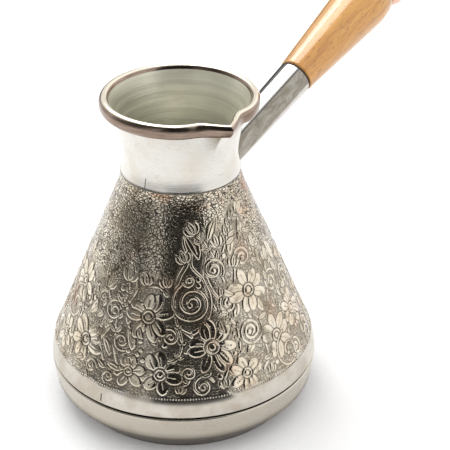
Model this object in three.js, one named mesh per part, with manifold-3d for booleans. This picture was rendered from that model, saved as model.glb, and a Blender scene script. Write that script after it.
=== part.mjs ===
// A long-handled coffee pot (cezve): a conical stamped body with a flared, wired rim and
// a pinched pouring lip, a lapped-on base pan, and a handle made of a steel socket, a
// turned wood grip and a copper end cap that one long threaded rod clamps together.
//
// Frame: millimetres, +Z up. The origin is the centre of the pot's base on the table.
// The handle leaves along +X and rises; the pouring lip is at LIP_ANGLE about +Z.

import * as THREE from 'three';
import { mergeVertices } from 'three/addons/utils/BufferGeometryUtils.js';
import Module from 'manifold-3d';

// ---- fits ---------------------------------------------------------------------------
const FIT = 0.3;              // gap between pieces that slide or are soldered together
const SEAT = 0.15;            // gap between faces that are clamped end to end

// ---- pot body (outer surface) -------------------------------------------------------
const WALL = 0.8;             // sheet of the body
const BODY_RADIUS = 49.7;     // widest radius, at the seam with the base pan
const SEAM_Z = 18.4;          // middle of the seam groove
const SEAM_GAP = 1.0;         // height of the groove
const BAND_HEIGHT = 14.7;     // plain band and shoulder above the groove
const SHOULDER_STEP = 5.0;    // the shoulder draws in this much before the straight cone
const CONE_TOP_RADIUS = 27.3;
const CONE_EASE = 16.9;       // the cone steepens over this height below the neck
const NECK_Z = 92.9;          // lower edge of the plain neck
const NECK_EDGE_RADIUS = 21.3;
const NECK_STEP = 0.2;        // the cone stands this much prouder than the neck's edge
const WAIST_RISE = 6.5;       // the narrowest place is this far above the neck's edge
const WAIST_RADIUS = 20.35;

// ---- rim ----------------------------------------------------------------------------
const RIM_RADIUS = 26.3;      // circle of the rim wire
const NECK_HEIGHT = 26.2;     // from the neck's lower edge to the rim wire
const WIRE_RADIUS = 0.65;
const CURL_DROP = 0.9;        // the middle of the curl is this far below the rim's circle
const CURL_STRETCH = 1.95;    // the curl is an oval, this much taller than it is wide
const FLARE_ANGLE = 27;       // degrees from vertical where the neck runs into the curl
const CURL_END = -62;         // degrees, where the curled edge stops

// ---- pouring lip --------------------------------------------------------------------
const LIP_ANGLE = -105.5;     // degrees about +Z from +X
const LIP_REACH = 4.8;        // how far the rim is pinched outward
const LIP_HALF_WIDTH = 20;    // degrees either side of the lip's crease
const LIP_CREASE = 1.7;       // how quickly the pinch falls away from its crease
const LIP_HEIGHT = 15.5;      // the pinch grows over this height below the rim wire
const LIP_DIP = 0.3;          // how far the rim drops at the crease
const LIP_DRAW = 0.9;         // the rim is drawn in this much beside the lip

// ---- base pan -----------------------------------------------------------------------
const PAN_WALL = 1.2;
const FOOT_INSET = 8.5;       // the flat foot is this much smaller in radius than the body
const FOOT_EDGE = 1.2;        // small radius round the foot
const PAN_LEAN = 1.1;         // the pan's band is this much narrower at its lower edge
const PAN_BEND_Z = 9.6;       // lower edge of the band, where the pan turns in
const PAN_BEND = 2.2;         // radius of that bend
const SPIGOT_HEIGHT = 4.6;    // the pan's flange inside the body, above the groove
const SPIGOT_WALL = 0.9;

// ---- handle -------------------------------------------------------------------------
// Lengths below are stations along the handle's axis from where it crosses the pot's axis.
const HANDLE_DROP = 15.2;     // that crossing is this far below the neck's lower edge
const HANDLE_TILT = 22.5;     // degrees above horizontal
const SOCKET_WALL = 1.0;
const SOCKET_ROOT = 28.8;     // a station where the socket's radius is known
const SOCKET_ROOT_RADIUS = 5.81;
const SOCKET_END = 71.0;
const SOCKET_END_RADIUS = 6.87;
const NUT_START = 40;         // threaded plug brazed inside the socket
const NUT_LENGTH = 11;
const ROD_RADIUS = 3;         // M6
const ROD_TIP = 1.0;          // the rod stands out of the plug by this much
const ROD_CHAMFER = 0.6;
const WASHER_THICK = 0.6;
const TENON_LENGTH = 9;       // wood inside the socket
const GRIP_STEP = 0.33;       // the wood starts this much prouder than the socket
const GRIP_LENGTH = 54;
const GRIP_BELLY = 43;        // from the wood's start to its widest place
const GRIP_BELLY_RADIUS = 10.75;
const GRIP_END_RADIUS = 9.2;
const CORE_LENGTH = 5;        // wood inside the end cap
const CORE_PLAY = 1.6;        // all round that core
const CAP_WALL = 1.0;
const CAP_STEP = 0.3;         // the cap's throat is this much prouder than the wood's end
const CAP_EDGE_RADIUS = 11.3;
const CAP_EDGE_RISE = 6.6;    // from the cap's throat to its widest place
const CAP_LENGTH = 14.3;
const CAP_TOP_RADIUS = 5.2;
const EYE_COLLAR_WALL = 1.3;
const EYE_COLLAR_LENGTH = 4.5;
const EYE_WIRE_RADIUS = 1.3;
const EYE_PLAY = 1.3;         // room in the eye all round the ring's wire
const EYE_BORE_DEPTH = 3.3;
const RING_RADIUS = 8.0;      // centre line of the hanging ring
const RING_WIRE_RADIUS = 1.0;

// ---- facets -------------------------------------------------------------------------
const POT_SEGMENTS = 64;
const LIP_CROWDING = 0.5;     // how strongly the facets crowd toward the lip, 0 to 1
const HANDLE_SEGMENTS = 32;
const CURVE_STEPS = 5;
const ARC_STEPS = 8;
const RING_SEGMENTS = 32;
const RING_WIRE_SEGMENTS = 10;

const wasm = await Module();
wasm.setup();

const rad = THREE.MathUtils.degToRad;
const v2 = (r, z) => new THREE.Vector2(r, z);

// ---- outlines -----------------------------------------------------------------------

/** Points of an arc about (r, z), from one angle to another in degrees. */
function arc(r, z, radius, from, to, steps = ARC_STEPS) {
  const points = [];
  for (let i = 0; i <= steps; i += 1) {
    const angle = rad(from + ((to - from) * i) / steps);
    points.push(v2(r + radius * Math.cos(angle), z + radius * Math.sin(angle)));
  }
  return points;
}

/** Points of a cubic curve, both ends included. */
function bezier(a, b, c, d, steps = CURVE_STEPS) {
  return new THREE.CubicBezierCurve(a, b, c, d).getPoints(steps);
}

/** A path moved sideways: to its left by distance, to its right when negative. */
function offsetPath(path, distance) {
  return path.map((point, i) => {
    const before = point.clone().sub(path[Math.max(i - 1, 0)]);
    const after = path[Math.min(i + 1, path.length - 1)].clone().sub(point);
    const first = before.lengthSq() > 0 ? before.normalize() : after.clone().normalize();
    const second = after.lengthSq() > 0 ? after.normalize() : first;
    const normal = v2(-first.y - second.y, first.x + second.x).normalize();
    const stretch = 1 / Math.max(normal.dot(v2(-first.y, first.x)), 0.5);
    return point.clone().addScaledVector(normal, distance * stretch);
  });
}

/** The closed outline of a sheet: a path and the same path offset to its left. */
function sheetOutline(path, thickness) {
  return [...path, ...offsetPath(path, thickness).reverse()];
}

const bandTopZ = SEAM_Z + SEAM_GAP / 2 + BAND_HEIGHT;
const shoulderRadius = BODY_RADIUS - SHOULDER_STEP;
const coneTopZ = NECK_Z - CONE_EASE;
const coneSlope = (shoulderRadius - CONE_TOP_RADIUS) / (coneTopZ - bandTopZ);
const rimZ = NECK_Z + NECK_HEIGHT;
const curlRadius = WIRE_RADIUS + FIT;             // inner face of the curled edge
const curlZ = rimZ - CURL_DROP;

/** The plain band and shoulder, upward from a height near the groove. */
function bandPath() {
  const bottomZ = SEAM_Z + SEAM_GAP / 2;
  const run = BAND_HEIGHT * 0.41;
  return bezier(
    v2(BODY_RADIUS - 0.1, bottomZ),
    v2(BODY_RADIUS - 0.4, bottomZ + BAND_HEIGHT * 0.31),
    v2(shoulderRadius + coneSlope * run, bandTopZ - run),
    v2(shoulderRadius, bandTopZ),
  );
}

/** The outer surface of the body from the groove to the neck's lower edge. */
function conePath() {
  const topRadius = NECK_EDGE_RADIUS + NECK_STEP;
  const top = bezier(
    v2(CONE_TOP_RADIUS, coneTopZ),
    v2(CONE_TOP_RADIUS - coneSlope * CONE_EASE * 0.35, coneTopZ + CONE_EASE * 0.35),
    v2(topRadius + 0.25, NECK_Z - CONE_EASE * 0.28),
    v2(topRadius, NECK_Z - NECK_STEP),
  );
  return [...bandPath(), ...top];
}

/** The inner face of the curled edge: an upright oval, from the neck over to its end. */
function curlPath() {
  const lean = Math.tan(rad(FLARE_ANGLE));
  const start = 180 - THREE.MathUtils.radToDeg(Math.atan(lean * CURL_STRETCH));
  const round = arc(0, 0, curlRadius, start, CURL_END, ARC_STEPS);
  return round.map((p) => v2(RIM_RADIUS + p.x, curlZ + p.y * CURL_STRETCH));
}

/** The outer surface of the neck up to where the rim's curl begins. */
function neckPath() {
  const waist = v2(WAIST_RADIUS, NECK_Z + WAIST_RISE);
  const foot = bezier(
    v2(NECK_EDGE_RADIUS, NECK_Z),
    v2(NECK_EDGE_RADIUS - 0.5, NECK_Z + WAIST_RISE * 0.35),
    v2(WAIST_RADIUS + 0.1, NECK_Z + WAIST_RISE * 0.5),
    waist,
    3,
  );
  const start = curlPath()[0];
  const rise = start.y - waist.y;
  const lean = Math.tan(rad(FLARE_ANGLE));
  const flare = bezier(
    waist,
    v2(WAIST_RADIUS + 0.3, waist.y + rise * 0.3),
    v2(start.x - lean * rise * 0.26, start.y - rise * 0.26),
    start,
  );
  return [...foot, ...flare.slice(1)];
}

/** The whole sheet of the body: cone, neck and the edge curled over the rim wire. */
function bodyPath() {
  return [...conePath(), ...neckPath(), ...curlPath().slice(1)];
}

// ---- solids -------------------------------------------------------------------------

/** Turns a profile of (radius, height) points about +Z. Up the outside, down the inside. */
function turned(profile, segments, startAngle = 0) {
  const geometry = new THREE.LatheGeometry(profile, segments, rad(startAngle) + Math.PI / 2);
  return geometry.rotateX(Math.PI / 2);
}

/** A closed profile: the first point is repeated at the end. */
function closed(outline) {
  return [...outline, outline[0].clone()];
}

/** A mesh as a manifold-3d solid. */
function toSolid(geometry) {
  const bare = geometry.clone();
  bare.deleteAttribute('normal');
  bare.deleteAttribute('uv');
  const merged = mergeVertices(bare, 1e-4);
  const index = merged.index.array;
  const triVerts = [];
  for (let i = 0; i < index.length; i += 3) {
    const [a, b, c] = [index[i], index[i + 1], index[i + 2]];
    if (a !== b && b !== c && c !== a) triVerts.push(a, b, c);
  }
  return new wasm.Manifold(new wasm.Mesh({
    numProp: 3,
    vertProperties: new Float32Array(merged.attributes.position.array),
    triVerts: new Uint32Array(triVerts),
  }));
}

/** A manifold-3d solid as a mesh. */
function toGeometry(solid) {
  const mesh = solid.getMesh();
  const geometry = new THREE.BufferGeometry();
  geometry.setAttribute('position', new THREE.BufferAttribute(mesh.vertProperties, 3));
  geometry.setIndex(new THREE.BufferAttribute(mesh.triVerts, 1));
  return geometry;
}

/** How far the pinch of the lip has grown at a height: 0 on the neck, 1 at the rim. */
function lipGrowth(z) {
  const t = THREE.MathUtils.clamp(1 + (z - rimZ) / LIP_HEIGHT, 0, 1);
  return t ** 1.7;
}

/**
 * Crowds a turned piece's facets toward the lip, then pinches the lip outward. The crease
 * is sharp, and the rim is drawn in a little on both sides of it.
 */
function pinchLip(geometry) {
  const position = geometry.attributes.position;
  const lip = rad(LIP_ANGLE);
  const halfWidth = rad(LIP_HALF_WIDTH);
  for (let i = 0; i < position.count; i += 1) {
    const x = position.getX(i);
    const y = position.getY(i);
    const z = position.getZ(i);
    const radius = Math.hypot(x, y);
    if (radius < 1e-6) continue;
    const turn = Math.atan2(Math.sin(Math.atan2(y, x) - lip), Math.cos(Math.atan2(y, x) - lip));
    const away = turn - LIP_CROWDING * Math.sin(turn);
    const near = Math.max(0, 1 - Math.abs(away) / halfWidth);
    const draw = Math.exp(-(((Math.abs(away) - halfWidth * 0.95) / (halfWidth * 0.45)) ** 2));
    const growth = lipGrowth(z);
    const newRadius = radius + growth * (LIP_REACH * near ** LIP_CREASE - LIP_DRAW * draw);
    const angle = lip + away;
    position.setXYZ(
      i,
      newRadius * Math.cos(angle),
      newRadius * Math.sin(angle),
      z - LIP_DIP * growth * near ** LIP_CREASE,
    );
  }
  return geometry;
}

// ---- pieces of the pot --------------------------------------------------------------

function bodyShell() {
  const outline = closed(sheetOutline(bodyPath(), WALL));
  return pinchLip(turned(outline, POT_SEGMENTS, LIP_ANGLE));
}

function rimWire() {
  const outline = arc(RIM_RADIUS, curlZ, WIRE_RADIUS, 0, 360, ARC_STEPS);
  return pinchLip(turned(outline, POT_SEGMENTS, LIP_ANGLE));
}

function basePan() {
  const bandTop = SEAM_Z - SEAM_GAP / 2;
  const edge = BODY_RADIUS - PAN_LEAN - PAN_BEND;
  const bend = arc(edge, PAN_BEND_Z, PAN_BEND, -52, 8, 4);
  const footRadius = BODY_RADIUS - FOOT_INSET;
  const outer = [
    v2(footRadius - FOOT_EDGE, 0),
    v2(footRadius, FOOT_EDGE * 0.4),
    ...bend,
    v2(BODY_RADIUS, bandTop - 0.4),
  ];
  const inner = offsetPath(outer, PAN_WALL);
  inner[0] = v2(inner[0].x, PAN_WALL);
  const liner = offsetPath(bandPath(), WALL + FIT).filter((p) => p.y < bandTop + SPIGOT_HEIGHT);
  const spigot = [v2(liner[0].x, bandTop), ...liner];
  const spigotInner = spigot.map((p) => v2(p.x - SPIGOT_WALL, p.y));
  spigotInner[0].y -= SPIGOT_WALL;
  return turned([
    v2(0, 0),
    ...outer,
    v2(BODY_RADIUS - 0.4, bandTop),
    ...spigot,
    ...spigotInner.reverse(),
    ...inner.slice(0, -1).reverse(),
    v2(0, PAN_WALL),
  ], POT_SEGMENTS);
}

// ---- pieces of the handle (turned about its axis, which is local +Z) ----------------

const socketTaper = (SOCKET_END_RADIUS - SOCKET_ROOT_RADIUS) / (SOCKET_END - SOCKET_ROOT);
const socketRadius = (t) => SOCKET_END_RADIUS - socketTaper * (SOCKET_END - t);
const washerStart = SOCKET_END + SEAT;
const gripStart = washerStart + WASHER_THICK + SEAT;
const gripEnd = gripStart + GRIP_LENGTH;
const capStart = gripEnd + SEAT;
const capEnd = capStart + CAP_LENGTH;
const eyeStart = capEnd + SEAT;
const eyeBoreEnd = eyeStart + EYE_BORE_DEPTH;
const eyeLoopRadius = RING_WIRE_RADIUS + EYE_PLAY + EYE_WIRE_RADIUS;
const eyeLoop = eyeStart + EYE_COLLAR_LENGTH + eyeLoopRadius;
const rodStart = NUT_START - ROD_TIP;
const rodEnd = eyeBoreEnd - FIT;
const rodHole = ROD_RADIUS + FIT;
const tenonStart = gripStart - TENON_LENGTH;
const tenonRadius = socketRadius(tenonStart) - SOCKET_WALL - FIT;
const capThroatRadius = GRIP_END_RADIUS + CAP_STEP;
const coreRadius = capThroatRadius - CAP_WALL - CORE_PLAY;

/** The frame of the handle: local +Z is its axis. */
function handleMatrix() {
  const turn = new THREE.Matrix4().makeRotationY(Math.PI / 2 - rad(HANDLE_TILT));
  return turn.setPosition(0, 0, NECK_Z - HANDLE_DROP);
}

/** The steel socket, its root cut to the pot's wall with a clearance. */
function handleSocket() {
  const buried = CONE_TOP_RADIUS * 0.5;
  const inside = (t) => socketRadius(t) - SOCKET_WALL;
  const tube = turned(closed([
    v2(socketRadius(buried), buried),
    v2(socketRadius(SOCKET_END) - 0.02, SOCKET_END),
    v2(inside(SOCKET_END), SOCKET_END),
    v2(inside(buried), buried),
  ]), HANDLE_SEGMENTS);
  const wall = offsetPath([...conePath(), ...neckPath()], -FIT);
  const pot = turned([v2(0, wall[0].y), ...wall, v2(0, wall[wall.length - 1].y)], POT_SEGMENTS);
  pot.applyMatrix4(handleMatrix().invert());
  return toGeometry(toSolid(tube).subtract(toSolid(pot)));
}

/** The threaded plug inside the socket that takes the rod. */
function socketNut() {
  const end = NUT_START + NUT_LENGTH;
  const outside = (t) => socketRadius(t) - SOCKET_WALL - FIT;
  return turned(closed([
    v2(outside(NUT_START), NUT_START),
    v2(outside(end), end),
    v2(rodHole, end),
    v2(rodHole, NUT_START),
  ]), HANDLE_SEGMENTS);
}

function jointWasher() {
  const end = washerStart + WASHER_THICK;
  return turned(closed([
    v2(SOCKET_END_RADIUS - 0.1, washerStart),
    v2(SOCKET_END_RADIUS - 0.1, end),
    v2(tenonRadius + FIT, end),
    v2(tenonRadius + FIT, washerStart),
  ]), HANDLE_SEGMENTS);
}

/** The turned wood: tenon, taper to its belly, rounded end, core inside the cap. */
function woodGrip() {
  const belly = gripStart + GRIP_BELLY;
  const round = gripEnd - belly;
  const startRadius = SOCKET_END_RADIUS + GRIP_STEP;
  const taper = (GRIP_BELLY_RADIUS - startRadius) / GRIP_BELLY;
  const rounded = bezier(
    v2(GRIP_BELLY_RADIUS, belly),
    v2(GRIP_BELLY_RADIUS + taper * round * 0.4, belly + round * 0.4),
    v2(GRIP_BELLY_RADIUS - 0.2, gripEnd - round * 0.2),
    v2(GRIP_END_RADIUS, gripEnd),
  );
  return turned(closed([
    v2(tenonRadius, tenonStart),
    v2(tenonRadius, gripStart),
    v2(startRadius - 0.25, gripStart),
    v2(startRadius, gripStart + 0.4),
    ...rounded,
    v2(coreRadius, gripEnd),
    v2(coreRadius, gripEnd + CORE_LENGTH),
    v2(rodHole, gripEnd + CORE_LENGTH),
    v2(rodHole, tenonStart),
  ]), HANDLE_SEGMENTS);
}

function handleRod() {
  return turned([
    v2(0, rodStart),
    v2(ROD_RADIUS - ROD_CHAMFER, rodStart),
    v2(ROD_RADIUS, rodStart + ROD_CHAMFER),
    v2(ROD_RADIUS, rodEnd - ROD_CHAMFER),
    v2(ROD_RADIUS - ROD_CHAMFER, rodEnd),
    v2(0, rodEnd),
  ], HANDLE_SEGMENTS);
}

/** The spun copper cap: a throat that flares to a rounded edge, then a dome. */
function capPath() {
  const edge = capStart + CAP_EDGE_RISE;
  const flare = bezier(
    v2(capThroatRadius, capStart),
    v2(capThroatRadius + 0.2, capStart + CAP_EDGE_RISE * 0.3),
    v2(CAP_EDGE_RADIUS, edge - CAP_EDGE_RISE * 0.45),
    v2(CAP_EDGE_RADIUS, edge),
  );
  const dome = bezier(
    v2(CAP_EDGE_RADIUS, edge),
    v2(CAP_EDGE_RADIUS, edge + (capEnd - edge) * 0.55),
    v2(CAP_TOP_RADIUS + 3.2, capEnd),
    v2(CAP_TOP_RADIUS, capEnd),
  );
  return [...flare, ...dome.slice(1), v2(rodHole, capEnd)];
}

function endCap() {
  return turned(closed(sheetOutline(capPath(), CAP_WALL)), HANDLE_SEGMENTS);
}

/** The eye: a collar with a blind thread for the rod, and a round loop on its end. */
function hangerEye() {
  const collarEnd = eyeStart + EYE_COLLAR_LENGTH;
  const collarRadius = rodHole + EYE_COLLAR_WALL;
  const collar = turned([
    v2(0, eyeBoreEnd),
    v2(rodHole, eyeBoreEnd),
    v2(rodHole, eyeStart),
    v2(collarRadius, eyeStart),
    v2(collarRadius, collarEnd - 2),
    v2(collarRadius - 2, collarEnd),
    v2(0, collarEnd),
  ], HANDLE_SEGMENTS);
  const loop = new THREE.TorusGeometry(eyeLoopRadius, EYE_WIRE_RADIUS, RING_WIRE_SEGMENTS, 24);
  loop.rotateX(Math.PI / 2).translate(0, 0, eyeLoop);
  return toGeometry(toSolid(collar).add(toSolid(loop)));
}

/** Where the hanging ring's wire rests in the eye: the loop's lowest place, in pot axes. */
function ringPivot() {
  const centre = new THREE.Vector3(0, 0, eyeLoop).applyMatrix4(handleMatrix());
  return centre.add(new THREE.Vector3(0, 0, FIT - EYE_PLAY));
}

function hangRing() {
  const ring = new THREE.TorusGeometry(
    RING_RADIUS, RING_WIRE_RADIUS, RING_WIRE_SEGMENTS, RING_SEGMENTS,
  );
  return ring.rotateY(Math.PI / 2);
}

// ---- the assembly -------------------------------------------------------------------

const SILVER = { color: 0xb9b4aa, roughness: 0.3, metalness: 1.0 };
const COPPER = { color: 0xb87a5c, roughness: 0.3, metalness: 1.0 };
const STEEL = { color: 0xa8a49c, roughness: 0.22, metalness: 1.0 };
const WOOD = { color: 0xd9a062, roughness: 0.28, metalness: 0.0 };
const FIBRE = { color: 0x2a2522, roughness: 0.8, metalness: 0.0 };

function piece(name, geometry, look) {
  const mesh = new THREE.Mesh(geometry, new THREE.MeshStandardMaterial(look));
  mesh.name = name;
  return mesh;
}

const pot = new THREE.Group();
pot.add(
  piece('body_shell', bodyShell(), SILVER),
  piece('rim_wire', rimWire(), COPPER),
  piece('base_pan', basePan(), SILVER),
);

const handle = new THREE.Group();
handle.applyMatrix4(handleMatrix());
handle.add(
  piece('handle_socket', handleSocket(), STEEL),
  piece('socket_nut', socketNut(), STEEL),
  piece('joint_washer', jointWasher(), FIBRE),
  piece('wood_grip', woodGrip(), WOOD),
  piece('handle_rod', handleRod(), STEEL),
  piece('end_cap', endCap(), COPPER),
  piece('hanger_eye', hangerEye(), COPPER),
);

const ring = piece('hang_ring', hangRing(), COPPER);
ring.position.copy(ringPivot()).add(new THREE.Vector3(0, 0, -RING_RADIUS));

const cezve = new THREE.Group();
cezve.add(pot, handle, ring);

export default cezve;
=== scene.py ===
# %% [markdown]
# # A small coffee pot with a long handle
#
# The real pot is spun and stamped from copper sheet, plated, and darkened in its hollows.
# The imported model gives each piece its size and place. Here every piece that shows is made
# again with finer facets, soft edges and the stamped pattern, in the same frame.

# %% Load the fixed frame
import math
import bpy
import numpy as np
from mathutils import Matrix, Vector, noise


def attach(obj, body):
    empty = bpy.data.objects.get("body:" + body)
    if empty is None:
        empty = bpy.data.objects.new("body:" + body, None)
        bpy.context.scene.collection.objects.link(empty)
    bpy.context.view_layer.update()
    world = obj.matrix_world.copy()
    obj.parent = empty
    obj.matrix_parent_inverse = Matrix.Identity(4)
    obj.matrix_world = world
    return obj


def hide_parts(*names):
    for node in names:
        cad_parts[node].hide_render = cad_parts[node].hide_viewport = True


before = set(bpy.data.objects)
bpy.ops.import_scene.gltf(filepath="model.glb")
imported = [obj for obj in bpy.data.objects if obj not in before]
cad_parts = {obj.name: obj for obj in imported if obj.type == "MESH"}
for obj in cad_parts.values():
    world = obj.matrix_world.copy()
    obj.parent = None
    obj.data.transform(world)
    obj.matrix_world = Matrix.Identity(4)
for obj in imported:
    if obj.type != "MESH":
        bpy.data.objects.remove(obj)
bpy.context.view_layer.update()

# %% [markdown]
# ## Sizes
#
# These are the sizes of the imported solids, in millimetres. Repeating them as names keeps the
# fine pieces on the same surfaces. Meshes are turned into metres only when they are made.

# %% Sizes of the pot
MM = 0.001
WALL = 0.8
BODY_RADIUS = 49.7
SEAM_Z = 18.4
SEAM_GAP = 1.0
BAND_HEIGHT = 14.7
SHOULDER_RADIUS = BODY_RADIUS - 5.0
CONE_TOP_RADIUS = 27.3
CONE_EASE = 16.9
NECK_Z = 92.9
NECK_EDGE_RADIUS = 21.3
NECK_STEP = 0.2
WAIST_RISE = 6.5
WAIST_RADIUS = 20.35
RIM_RADIUS = 26.3
RIM_Z = NECK_Z + 26.2
WIRE_RADIUS = 0.65
CURL_RADIUS = WIRE_RADIUS + 0.3
CURL_Z = RIM_Z - 0.9
CURL_STRETCH = 1.95
FLARE_LEAN = math.tan(math.radians(27.0))
CURL_END = -62.0
GROOVE_TOP = SEAM_Z + SEAM_GAP / 2
GROOVE_FOOT = SEAM_Z - SEAM_GAP / 2
BAND_TOP = GROOVE_TOP + BAND_HEIGHT
CONE_TOP = NECK_Z - CONE_EASE
SLOPE = (SHOULDER_RADIUS - CONE_TOP_RADIUS) / (CONE_TOP - BAND_TOP)
print("cone leans", round(math.degrees(math.atan(SLOPE)), 1), "degrees")

# %% Sizes of the pouring lip and the pan
LIP_ANGLE = math.radians(-105.5)
LIP_REACH = 4.8
LIP_HALF_WIDTH = math.radians(20)
LIP_CREASE = 1.7
LIP_HEIGHT = 15.5
LIP_DIP = 0.3
LIP_DRAW = 0.9
LIP_CROWDING = 0.5
PAN_WALL = 1.2
FOOT_RADIUS = BODY_RADIUS - 8.5
FOOT_EDGE = 1.2
PAN_BEND_Z = 9.6
PAN_BEND = 2.2
PAN_EDGE = BODY_RADIUS - 1.1 - PAN_BEND

# %% Sizes of the handle
HANDLE_Z = NECK_Z - 15.2
HANDLE_TILT = math.radians(22.5)
SOCKET_END = 71.0
SOCKET_END_RADIUS = 6.87
SOCKET_TAPER = (6.87 - 5.81) / (71.0 - 28.8)
SOCKET_ROOT_RADIUS = 5.75
ROOT_INSET = 0.25
BEAD_RADIUS = 0.55
WASHER_START = 71.15
GRIP_START = 71.9
GRIP_BELLY = GRIP_START + 43.0
GRIP_END = GRIP_START + 54.0
GRIP_START_RADIUS = 7.2
GRIP_BELLY_RADIUS = 10.75
GRIP_END_RADIUS = 9.2
TENON_START = GRIP_START - 9.0
TENON_RADIUS = SOCKET_END_RADIUS - SOCKET_TAPER * (SOCKET_END - TENON_START) - 1.3
ROD_HOLE = 3.3
CAP_START = GRIP_END + 0.15
CAP_END = CAP_START + 14.3
CAP_EDGE = CAP_START + 6.6
CAP_THROAT_RADIUS = 9.5
CAP_EDGE_RADIUS = 11.3
CAP_TOP_RADIUS = 5.2
EYE_START = CAP_END + 0.15
EYE_BORE_END = EYE_START + 3.3
EYE_COLLAR_END = EYE_START + 4.5
EYE_LOOP_RADIUS = 3.6
EYE_LOOP = EYE_COLLAR_END + EYE_LOOP_RADIUS
RING_RADIUS = 8.0
RING_WIRE = 1.0
EYE_WIRE = 1.3
RING_WIRE_GAP = 0.3

# %% [markdown]
# ## Outlines
#
# Almost every piece was turned or spun, so it starts as an outline of radius and height.
# Three helpers draw one: a cubic curve, an arc, and a path moved sideways by a thickness.
# A fourth rounds each sharp corner a little, because an edge that has no radius catches no
# light and looks cut from card.

# %% Outline helpers
def curve(a, b, c, d, steps):
    t = np.linspace(0, 1, steps + 1)[:, None]
    a, b, c, d = (np.array(p, float) for p in (a, b, c, d))
    return (1 - t) ** 3 * a + 3 * (1 - t) ** 2 * t * b + 3 * (1 - t) * t ** 2 * c + t ** 3 * d


def straight(a, b, steps):
    t = np.linspace(0, 1, steps + 1)[:, None]
    return (1 - t) * np.array(a, float) + t * np.array(b, float)


def arc(centre, radius, start, stop, steps):
    angle = np.radians(np.linspace(start, stop, steps + 1))
    return np.stack([centre[0] + radius * np.cos(angle), centre[1] + radius * np.sin(angle)], 1)


def chain(*paths):
    joined = [paths[0]]
    for path in paths[1:]:
        near = np.hypot(*(path[0] - joined[-1][-1])) < 1e-6
        joined.append(path[1:] if near else path)
    return np.concatenate(joined)


def normals(path):
    along = np.gradient(path, axis=0)
    along /= np.maximum(np.hypot(along[:, 0], along[:, 1]), 1e-9)[:, None]
    return np.stack([-along[:, 1], along[:, 0]], 1)


def beside(path, distance):
    return path + normals(path) * distance


def soften(outline, radius, steps=3, least=18.0):
    rounded = []
    count = len(outline)
    for i, point in enumerate(outline):
        before = outline[i - 1] - point
        after = outline[(i + 1) % count] - point
        reach = [max(np.hypot(*side), 1e-9) for side in (before, after)]
        turn = 180 - math.degrees(math.acos(np.clip(before @ after / reach[0] / reach[1], -1, 1)))
        if turn < least or point[0] < 1e-6:
            rounded.append(point)
            continue
        start = point + before * min(radius / reach[0], 0.45)
        stop = point + after * min(radius / reach[1], 0.45)
        for t in np.linspace(0, 1, steps + 1):
            rounded.append((1 - t) ** 2 * start + 2 * t * (1 - t) * point + t * t * stop)
    return np.array(rounded)


print("outline helpers ready")

# %% The pot's outer surface from the groove to the rim
band = curve(
    (BODY_RADIUS - 0.1, GROOVE_TOP),
    (BODY_RADIUS - 0.4, GROOVE_TOP + BAND_HEIGHT * 0.31),
    (SHOULDER_RADIUS + SLOPE * BAND_HEIGHT * 0.41, BAND_TOP - BAND_HEIGHT * 0.41),
    (SHOULDER_RADIUS, BAND_TOP),
    24,
)
cone = straight((SHOULDER_RADIUS, BAND_TOP), (CONE_TOP_RADIUS, CONE_TOP), 30)
cone_top = curve(
    (CONE_TOP_RADIUS, CONE_TOP),
    (CONE_TOP_RADIUS - SLOPE * CONE_EASE * 0.35, CONE_TOP + CONE_EASE * 0.35),
    (NECK_EDGE_RADIUS + NECK_STEP + 0.25, NECK_Z - CONE_EASE * 0.28),
    (NECK_EDGE_RADIUS + NECK_STEP, NECK_Z - NECK_STEP),
    20,
)
neck_foot = curve(
    (NECK_EDGE_RADIUS, NECK_Z),
    (NECK_EDGE_RADIUS - 0.5, NECK_Z + WAIST_RISE * 0.35),
    (WAIST_RADIUS + 0.1, NECK_Z + WAIST_RISE * 0.5),
    (WAIST_RADIUS, NECK_Z + WAIST_RISE),
    10,
)
curl_start = 180 - math.degrees(math.atan(FLARE_LEAN * CURL_STRETCH))
curl = arc((0, 0), CURL_RADIUS, curl_start, CURL_END, 28) * (1, CURL_STRETCH) + (RIM_RADIUS, CURL_Z)
rise = curl[0][1] - NECK_Z - WAIST_RISE
flare = curve(
    (WAIST_RADIUS, NECK_Z + WAIST_RISE),
    (WAIST_RADIUS + 0.3, NECK_Z + WAIST_RISE + rise * 0.3),
    (curl[0][0] - FLARE_LEAN * rise * 0.26, curl[0][1] - rise * 0.26),
    curl[0],
    30,
)
COVER = chain(band, cone, cone_top)
SHEET = chain(band, cone, cone_top, neck_foot, flare, curl)
print("sheet path has", len(SHEET), "points")

# %% [markdown]
# ## From outline to mesh
#
# One function turns an outline about the pot's axis or the handle's. It takes one radius and
# one height for each point and column, so the same function makes plain turned pieces and
# the embossed skin. A point on the axis becomes a single corner, which keeps poles closed.

# %% Turning an outline into a closed mesh
def handle_axes():
    along = Vector((math.cos(HANDLE_TILT), 0, math.sin(HANDLE_TILT)))
    across = Vector((0, 1, 0))
    down = across.cross(along)
    turned = Matrix((down, across, along)).transposed().to_4x4()
    return Matrix.Translation((0, 0, HANDLE_Z)) @ turned


HANDLE = np.array(handle_axes())
POT = np.eye(4)


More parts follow.
